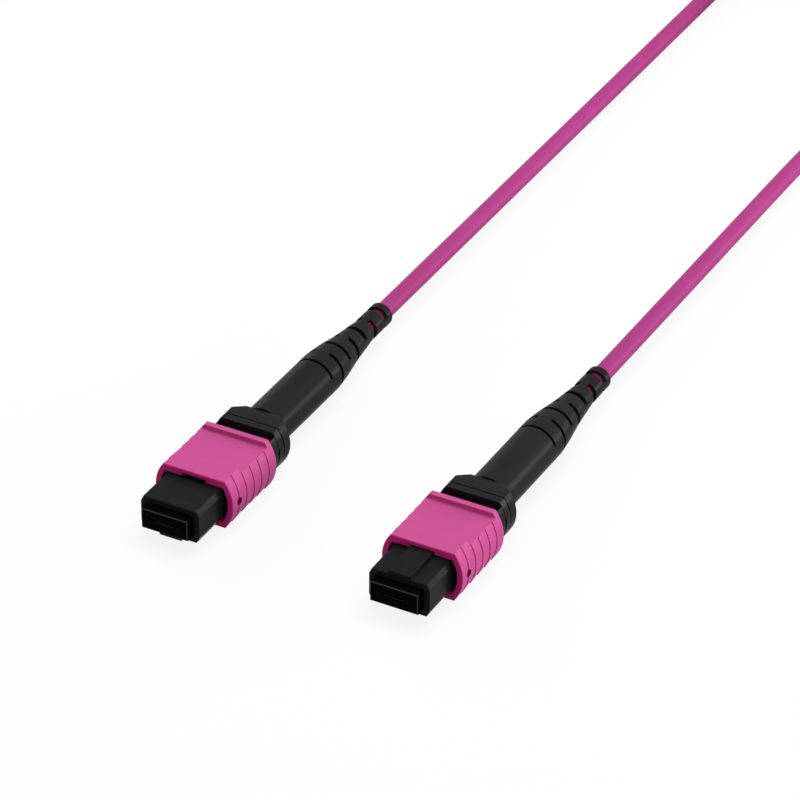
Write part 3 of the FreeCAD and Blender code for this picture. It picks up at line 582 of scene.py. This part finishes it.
def spring_tree():
    tree, sockets, come, go = new_tree("wound_spring", {
        "Mean radius": "Float", "Wire radius": "Float", "Height": "Float", "Turns": "Float",
        "Count": "Int", "First axis": "Vector", "Next axis": "Vector"}, "Springs")
    spiral = tree.nodes.new("GeometryNodeCurveSpiral")
    spiral.inputs["Resolution"].default_value = STEPS_PER_TURN
    wire = tree.nodes.new("GeometryNodeCurvePrimitiveCircle")
    wire.inputs["Resolution"].default_value = WIRE_SIDES
    sweep = tree.nodes.new("GeometryNodeCurveToMesh")
    sweep.inputs["Fill Caps"].default_value = True
    lay = tree.nodes.new("GeometryNodeTransform")
    lay.inputs["Rotation"].default_value = (-math.pi / 2, 0.0, 0.0)
    row = tree.nodes.new("GeometryNodeMeshLine")
    copies = tree.nodes.new("GeometryNodeInstanceOnPoints")
    realize = tree.nodes.new("GeometryNodeRealizeInstances")
    smooth = tree.nodes.new("GeometryNodeSetShadeSmooth")
    paint = tree.nodes.new("GeometryNodeSetMaterial")
    paint.inputs["Material"].default_value = spring_finish
    link = tree.links.new
    link(come["Turns"], spiral.inputs["Rotations"])
    link(come["Mean radius"], spiral.inputs["Start Radius"])
    link(come["Mean radius"], spiral.inputs["End Radius"])
    link(come["Height"], spiral.inputs["Height"])
    link(come["Wire radius"], wire.inputs["Radius"])
    link(spiral.outputs["Curve"], sweep.inputs["Curve"])
    link(wire.outputs["Curve"], sweep.inputs["Profile Curve"])
    link(sweep.outputs["Mesh"], lay.inputs["Geometry"])
    link(come["Count"], row.inputs["Count"])
    link(come["First axis"], row.inputs["Start Location"])
    link(come["Next axis"], row.inputs["Offset"])
    link(row.outputs["Mesh"], copies.inputs["Points"])
    link(lay.outputs["Geometry"], copies.inputs["Instance"])
    link(copies.outputs["Instances"], realize.inputs["Geometry"])
    link(realize.outputs["Geometry"], smooth.inputs["Geometry"])
    link(smooth.outputs["Geometry"], paint.inputs["Geometry"])
    link(paint.outputs["Geometry"], go)
    return tree, sockets


wound_spring, spring_sockets = spring_tree()
print("spring tree of", len(wound_spring.nodes), "nodes")

# %% [markdown]
# Each spring fills the room that a plain solid holds for it in the frame: one behind each ferrule, and two
# beside each housing that push the sleeve forward. The tree's result is kept as a plain mesh, since a
# finished piece should need no modifier.

# %% Springs
def grown(name, tree, sockets, sizes):
    """Runs a node tree on an empty piece and keeps the result as a plain mesh."""
    piece = placed(name, bpy.data.meshes.new(name))
    growth = piece.modifiers.new(tree.name, "NODES")
    growth.node_group = tree
    for socket, size in sizes.items():
        growth[sockets[socket]] = size
    evaluated = piece.evaluated_get(bpy.context.evaluated_depsgraph_get())
    mesh = bpy.data.meshes.new_from_object(evaluated)
    piece.modifiers.clear()
    piece.data = mesh
    mesh.name = name
    print(name, len(mesh.polygons), "faces")
    return piece


def make_springs(name, replaced, wire, turns):
    """Round-wire springs in the room that one or two plain springs of the frame hold."""
    boxes = [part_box(node) for node in replaced]
    low, high = boxes[0]
    middle = (low + high) / 2
    step = (boxes[-1][0] - low) if len(boxes) > 1 else Vector((MM, 0.0, 0.0))
    springs = grown(name, wound_spring, spring_sockets, {
        "Mean radius": (high.z - low.z - wire) / 2, "Wire radius": wire / 2,
        "Height": high.y - low.y - wire, "Turns": turns, "Count": len(boxes),
        "First axis": (middle.x, low.y + wire / 2, middle.z), "Next axis": tuple(step)})
    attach(springs, "cable")
    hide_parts(*replaced)
    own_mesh(springs)


for side in SIDES:
    make_springs("ferrule_spring_coil_" + side, ["ferrule_spring_" + side],
                 wire=0.4 * MM, turns=7.0)
    make_springs("return_spring_coils_" + side,
                 ["return_spring_left_" + side, "return_spring_right_" + side],
                 wire=0.14 * MM, turns=16.0)

# %% [markdown]
# Twelve glass fibres end in a row across the ferrule's face, between the two guide-pin holes.
# An Array modifier could repeat one of them. A line of points that carries copies of one small polished
# disc does the same, and keeps number, pitch and size together as named inputs.

# %% Fibre ends
FIBRE_PITCH = 0.25 * MM
FIBRE_DIAMETER = 0.125 * MM
FIBRE_PROUD = 0.003 * MM
FIBRE_SIDES = 16
FIBRE_COUNT = len(FIBRE_COLOURS)
GLASS_COLOUR = (0.01, 0.011, 0.012)


def polished_glass():
    material, tree, shader = new_finish("polished_fibre_glass", GLASS_COLOUR, roughness=0.08, specular=0.2)
    spread(tree, noise(tree, 20000.0), 0.05, 0.12, shader.inputs["Roughness"])
    return material


def fibre_row_tree():
    tree, sockets, come, go = new_tree("fibre_row", {
        "Count": "Int", "First fibre": "Vector", "Next fibre": "Vector",
        "Radius": "Float", "Depth": "Float"}, "Fibre ends")
    row = tree.nodes.new("GeometryNodeMeshLine")
    disc = tree.nodes.new("GeometryNodeMeshCylinder")
    disc.inputs["Vertices"].default_value = FIBRE_SIDES
    face = tree.nodes.new("GeometryNodeTransform")
    face.inputs["Rotation"].default_value = (math.pi / 2, 0.0, 0.0)
    copies = tree.nodes.new("GeometryNodeInstanceOnPoints")
    realize = tree.nodes.new("GeometryNodeRealizeInstances")
    paint = tree.nodes.new("GeometryNodeSetMaterial")
    paint.inputs["Material"].default_value = polished_glass()
    link = tree.links.new
    link(come["Count"], row.inputs["Count"])
    link(come["First fibre"], row.inputs["Start Location"])
    link(come["Next fibre"], row.inputs["Offset"])
    link(come["Radius"], disc.inputs["Radius"])
    link(come["Depth"], disc.inputs["Depth"])
    link(disc.outputs["Mesh"], face.inputs["Geometry"])
    link(row.outputs["Mesh"], copies.inputs["Points"])
    link(face.outputs["Geometry"], copies.inputs["Instance"])
    link(copies.outputs["Instances"], realize.inputs["Geometry"])
    link(realize.outputs["Geometry"], paint.inputs["Geometry"])
    link(paint.outputs["Geometry"], go)
    return tree, sockets


fibre_row, fibre_sockets = fibre_row_tree()
for side in SIDES:
    low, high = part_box("mt_ferrule_" + side)
    middle = (low + high) / 2
    first = middle.x - FIBRE_PITCH * (FIBRE_COUNT - 1) / 2
    ends = grown("fibre_ends_" + side, fibre_row, fibre_sockets, {
        "Count": FIBRE_COUNT, "First fibre": (first, low.y, middle.z),
        "Next fibre": (FIBRE_PITCH, 0.0, 0.0), "Radius": FIBRE_DIAMETER / 2, "Depth": 2 * FIBRE_PROUD})
    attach(ends, "ferrule_" + side)

# %% [markdown]
# A woven strap holds the coil together. Its finish comes first: crossed yarns.
# A brick or checker pattern would be too hard, so a soft wave along the band is multiplied by one across.
# Both read a map in millimetres that the band carries, so the weave follows its bends.

# %% Strap weave
TAPE_COLOUR = (0.016, 0.016, 0.017)


def woven_tape():
    material, tree, shader = new_finish("woven_tape", TAPE_COLOUR, roughness=0.8, specular=0.3)
    weave = tree.nodes.new("ShaderNodeMath")
    weave.operation = "MULTIPLY"
    for number, (direction, scale) in enumerate((("X", 0.63), ("Y", 0.42))):
        yarn = texture(tree, "ShaderNodeTexWave", scale, source="UV")
        yarn.bands_direction = direction
        tree.links.new(yarn.outputs["Fac"], weave.inputs[number])
    woven = weave.outputs["Value"]
    dark = shade(TAPE_COLOUR, 0.6)
    light = shade(TAPE_COLOUR, 1.9)
    tint(tree, woven, dark, light, shader.inputs["Base Color"], 0.0, 0.8)
    spread(tree, noise(tree, 4000.0), 0.72, 0.88, shader.inputs["Roughness"])
    bump(tree, shader, woven, 0.05 * MM, 0.8)
    return material


tape_finish = woven_tape()
print("strap finish", tape_finish.name)

# %% [markdown]
# The strap is a flat band on a path: a rounded loop about the bundle of turns, and a short free end on top.
# It could be extruded by hand, but a sweep keeps its thickness even and is changed by a few sizes.
# Geometry Nodes sweep one flat profile along both paths, and store how far along and across the band
# each point lies, which is the map for the weave.

# %% Strap sweep
SELVEDGE_RADIUS = 0.18 * MM
SELVEDGE_STEPS = 2
CORNER_STEPS = 8
PROFILE_CUTS = 7

strap_tree, strap_sockets, strap_inputs, strap_output = new_tree("coil_strap", {
    "Loop depth": "Float", "Loop height": "Float", "Corner": "Float", "Width": "Float",
    "Thickness": "Float", "End start": "Vector", "End tip": "Vector", "Place": "Vector",
    "Coil axis": "Vector", "Coil radius": "Float"}, "Strap")


def strap_sweep(tree, come):
    """The flat band: a rounded loop and a free end, swept with one profile in the plane of X and Y."""
    make = tree.nodes.new
    link = tree.links.new
    loop = make("GeometryNodeCurvePrimitiveQuadrilateral")
    corners = make("GeometryNodeFilletCurve")
    corners.mode = "POLY"
    corners.inputs["Count"].default_value = CORNER_STEPS
    free_end = make("GeometryNodeCurvePrimitiveLine")
    paths = make("GeometryNodeJoinGeometry")
    along = make("GeometryNodeSplineParameter")
    measured_paths = make("GeometryNodeCaptureAttribute")
    measured_paths.capture_items.new("FLOAT", "Along")
    profile = make("GeometryNodeCurvePrimitiveQuadrilateral")
    selvedge = make("GeometryNodeFilletCurve")
    selvedge.mode = "POLY"
    selvedge.inputs["Count"].default_value = SELVEDGE_STEPS
    selvedge.inputs["Radius"].default_value = SELVEDGE_RADIUS
    cuts = make("GeometryNodeSubdivideCurve")
    cuts.inputs["Cuts"].default_value = PROFILE_CUTS
    band = make("GeometryNodeCurveToMesh")
    band.inputs["Fill Caps"].default_value = True
    link(come["Loop depth"], loop.inputs["Width"])
    link(come["Loop height"], loop.inputs["Height"])
    link(loop.outputs["Curve"], corners.inputs["Curve"])
    link(come["Corner"], corners.inputs["Radius"])
    link(come["End start"], free_end.inputs["Start"])
    link(come["End tip"], free_end.inputs["End"])
    link(corners.outputs["Curve"], paths.inputs["Geometry"])
    link(free_end.outputs["Curve"], paths.inputs["Geometry"])
    link(paths.outputs["Geometry"], measured_paths.inputs["Geometry"])
    link(along.outputs["Length"], measured_paths.inputs["Along"])
    link(come["Thickness"], profile.inputs["Width"])
    link(come["Width"], profile.inputs["Height"])
    link(profile.outputs["Curve"], selvedge.inputs["Curve"])
    link(selvedge.outputs["Curve"], cuts.inputs["Curve"])
    link(measured_paths.outputs["Geometry"], band.inputs["Curve"])
    link(cuts.outputs["Curve"], band.inputs["Profile Curve"])

    place = make("GeometryNodeInputPosition")
    across = make("ShaderNodeSeparateXYZ")
    chart = make("ShaderNodeCombineXYZ")
    in_millimetres = make("ShaderNodeVectorMath")
    in_millimetres.operation = "SCALE"
    in_millimetres.inputs["Scale"].default_value = 1 / MM
    store = make("GeometryNodeStoreNamedAttribute")
    store.data_type = "FLOAT2"
    store.domain = "CORNER"
    store.inputs["Name"].default_value = "UVMap"
    link(place.outputs["Position"], across.inputs["Vector"])
    link(measured_paths.outputs["Along"], chart.inputs["X"])
    link(across.outputs["Z"], chart.inputs["Y"])
    link(chart.outputs["Vector"], in_millimetres.inputs[0])
    link(band.outputs["Mesh"], store.inputs["Geometry"])
    link(in_millimetres.outputs["Vector"], store.inputs["Value"])
    return store.outputs["Geometry"]


flat_band = strap_sweep(strap_tree, strap_inputs)
print("strap sweep, a tree of", len(strap_tree.nodes), "nodes so far")

# %% [markdown]
# The turns are curved where the strap holds them, and a straight band would stand off them at its edges.
# A Curve modifier could bend it. In the tree it takes one rotation: each point turns about the coil's axis
# by as much as it lies along X, the way the turns run there. Before that, the loop is stood upright
# about the turns.

# %% Strap bend
def strap_bend(tree, come, band):
    """Turns each point about the coil's axis by its distance along X, as a band lies on a curve."""
    make = tree.nodes.new
    link = tree.links.new
    stand = make("GeometryNodeTransform")
    stand.inputs["Rotation"].default_value = (math.pi / 2, 0.0, math.pi / 2)
    place = make("GeometryNodeInputPosition")
    from_axis = make("ShaderNodeVectorMath")
    from_axis.operation = "SUBTRACT"
    parts = make("ShaderNodeSeparateXYZ")
    radius = make("ShaderNodeMath")
    radius.operation = "MULTIPLY"
    radius.inputs[1].default_value = -1.0
    angle = make("ShaderNodeMath")
    angle.operation = "DIVIDE"
    middle_line = make("ShaderNodeCombineXYZ")
    turn = make("ShaderNodeVectorRotate")
    turn.rotation_type = "Z_AXIS"
    back = make("ShaderNodeVectorMath")
    back.operation = "ADD"
    bend = make("GeometryNodeSetPosition")
    link(band, stand.inputs["Geometry"])
    link(come["Place"], stand.inputs["Translation"])
    link(place.outputs["Position"], from_axis.inputs[0])
    link(come["Coil axis"], from_axis.inputs[1])
    link(from_axis.outputs["Vector"], parts.inputs["Vector"])
    link(come["Coil radius"], radius.inputs[0])
    link(parts.outputs["X"], angle.inputs[0])
    link(radius.outputs["Value"], angle.inputs[1])
    link(parts.outputs["Y"], middle_line.inputs["Y"])
    link(parts.outputs["Z"], middle_line.inputs["Z"])
    link(middle_line.outputs["Vector"], turn.inputs["Vector"])
    link(angle.outputs["Value"], turn.inputs["Angle"])
    link(turn.outputs["Vector"], back.inputs[0])
    link(come["Coil axis"], back.inputs[1])
    link(stand.outputs["Geometry"], bend.inputs["Geometry"])
    link(back.outputs["Vector"], bend.inputs["Position"])
    return bend.outputs["Geometry"]


bent_band = strap_bend(strap_tree, strap_inputs, flat_band)
print("strap bend, a tree of", len(strap_tree.nodes), "nodes so far")

# %% [markdown]
# The tree is closed with the finish and run. The loop's height and depth could be written down as numbers,
# but they are measured on the solid that holds the strap's room, so the loop keeps to that room.
# The free end lies on top of it.

# %% Strap
STRAP_WIDTH = 7.0 * MM
STRAP_THICKNESS = 0.46 * MM
STRAP_CORNER = 1.3 * MM
COIL_RADIUS = 16.1 * MM
FREE_END = (-1.5 * MM, 5.2 * MM)


def strap_end(tree, band, go):
    """The last nodes of the tree: smooth shading, a plain mesh and the finish."""
    smooth = tree.nodes.new("GeometryNodeSetShadeSmooth")
    realize = tree.nodes.new("GeometryNodeRealizeInstances")
    paint = tree.nodes.new("GeometryNodeSetMaterial")
    paint.inputs["Material"].default_value = tape_finish
    tree.links.new(band, smooth.inputs["Geometry"])
    tree.links.new(smooth.outputs["Geometry"], realize.inputs["Geometry"])
    tree.links.new(realize.outputs["Geometry"], paint.inputs["Geometry"])
    tree.links.new(paint.outputs["Geometry"], go)


strap_end(strap_tree, bent_band, strap_output)
tie_low, tie_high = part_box("coil_tie")
loop_height = tie_high.z - tie_low.z - STRAP_THICKNESS
loop_depth = 2 * (tie_high.y - COIL_CENTRE.y - COIL_RADIUS) - STRAP_THICKNESS
end_height = loop_height / 2 + STRAP_THICKNESS
strap = grown("coil_strap", strap_tree, strap_sockets, {
    "Loop depth": loop_depth, "Loop height": loop_height, "Corner": STRAP_CORNER, "Width": STRAP_WIDTH,
    "Thickness": STRAP_THICKNESS, "End start": (FREE_END[0], end_height, 0.0),
    "End tip": (FREE_END[1], end_height, 0.0),
    "Place": (COIL_CENTRE.x, COIL_CENTRE.y + COIL_RADIUS, (tie_low.z + tie_high.z) / 2),
    "Coil axis": tuple(COIL_CENTRE), "Coil radius": COIL_RADIUS})
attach(strap, "cable")
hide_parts("coil_tie")

# %% [markdown]
# The studio is a plain white room. Lighting it white all round would leave the pieces flat, so the Light
# Path node tells two worlds apart: camera, glossy and transmission rays see full white, and the light that
# falls on the pieces comes from a dimmer one.

# %% World
WORLD_FILL = 0.36
WHITE = (1.0, 1.0, 1.0, 1.0)


def seen_directly(tree):
    """1 for camera, glossy and transmission rays, 0 for the rest."""
    path = tree.nodes.new("ShaderNodeLightPath")
    first = tree.nodes.new("ShaderNodeMath")
    first.operation = "MAXIMUM"
    second = tree.nodes.new("ShaderNodeMath")
    second.operation = "MAXIMUM"
    tree.links.new(path.outputs["Is Camera Ray"], first.inputs[0])
    tree.links.new(path.outputs["Is Glossy Ray"], first.inputs[1])
    tree.links.new(first.outputs["Value"], second.inputs[0])
    tree.links.new(path.outputs["Is Transmission Ray"], second.inputs[1])
    return second.outputs["Value"]


world = bpy.data.worlds.new("white_studio")
bpy.context.scene.world = world
world.use_nodes = True
sky = world.node_tree
fill = sky.nodes["Background"]
fill.inputs["Color"].default_value = WHITE
fill.inputs["Strength"].default_value = WORLD_FILL
white = sky.nodes.new("ShaderNodeBackground")
white.inputs["Color"].default_value = WHITE
white.inputs["Strength"].default_value = 1.0
choose = sky.nodes.new("ShaderNodeMixShader")
sky.links.new(seen_directly(sky), choose.inputs["Fac"])
sky.links.new(fill.outputs["Background"], choose.inputs[1])
sky.links.new(white.outputs["Background"], choose.inputs[2])
sky.links.new(choose.outputs["Shader"], sky.nodes["World Output"].inputs["Surface"])
print("world", world.name, "with a fill of", WORLD_FILL)

# %% [markdown]
# The pieces lie on a matt table. A white one would throw much light up at them, so this one is grey for
# the light that bounces off it. Where it is seen, directly or in a reflection, it is white paper that
# mostly glows by itself, so the shadow on it stays visible but light.

# %% Floor
FLOOR_SIZE = 6.0
FLOOR_DROP = 0.01 * MM
FLOOR_GREY = (0.45, 0.45, 0.45)
GLOW_SHARE = 0.86


def floor_finish():
    material, tree, shader = new_finish("pale_floor", FLOOR_GREY, roughness=0.9, specular=0.0)
    glow = tree.nodes.new("ShaderNodeEmission")
    glow.inputs["Strength"].default_value = 1.0
    paper = tree.nodes.new("ShaderNodeBsdfDiffuse")
    paper.inputs["Color"].default_value = WHITE
    seen = tree.nodes.new("ShaderNodeMixShader")
    seen.inputs["Fac"].default_value = GLOW_SHARE
    mix = tree.nodes.new("ShaderNodeMixShader")
    tree.links.new(paper.outputs["BSDF"], seen.inputs[1])
    tree.links.new(glow.outputs["Emission"], seen.inputs[2])
    tree.links.new(seen_directly(tree), mix.inputs["Fac"])
    tree.links.new(shader.outputs["BSDF"], mix.inputs[1])
    tree.links.new(seen.outputs["Shader"], mix.inputs[2])
    tree.links.new(mix.outputs["Shader"], tree.nodes["Material Output"].inputs["Surface"])
    return material


reach = FLOOR_SIZE / 2
floor_corners = [(x * reach, y * reach, -FLOOR_DROP) for x, y in ((-1, -1), (1, -1), (1, 1), (-1, 1))]
floor_mesh = bpy.data.meshes.new("pale_floor")
floor_mesh.from_pydata(floor_corners, [], [(0, 1, 2, 3)])
floor_mesh.materials.append(floor_finish())
floor = placed("pale_floor", floor_mesh)
print("floor", FLOOR_SIZE, "m square")

# %% [markdown]
# One lamp could light it all, but the sides turned away from it would stay dark, so there are three.
# A large one overhead lights the flat tops. A small strong one stands low behind on the right, where the
# housings' steep corners mirror it. A weak one on the left keeps the cord's shaded side from going dull.
# Together they make a level surface about as bright as its colour is written.

# %% Lamps
def soft_lamp(name, place, width, height, power):
    """A flat lamp that faces the connectors."""
    data = bpy.data.lights.new(name, "AREA")
    data.shape = "RECTANGLE"
    data.size = width
    data.size_y = height
    data.energy = power
    lamp = placed(name, data)
    lamp.location = place
    lamp.rotation_euler = (-Vector(place)).to_track_quat("-Z", "Y").to_euler()
    print(name, power, "W")


soft_lamp("overhead_softbox", (0.08, 0.16, 0.62), width=0.45, height=0.45, power=2.35)
soft_lamp("low_right_softbox", (0.58, 0.62, 0.082), width=0.34, height=0.155, power=5.2)
soft_lamp("left_softbox", (-0.66, 0.38, 0.30), width=0.60, height=0.40, power=2.1)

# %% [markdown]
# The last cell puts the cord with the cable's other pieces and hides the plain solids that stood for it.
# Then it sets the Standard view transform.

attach(cord, "cable")
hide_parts("cable_run_a", "cable_run_b", "cable_coil")

bpy.context.scene.view_settings.view_transform = "Standard"
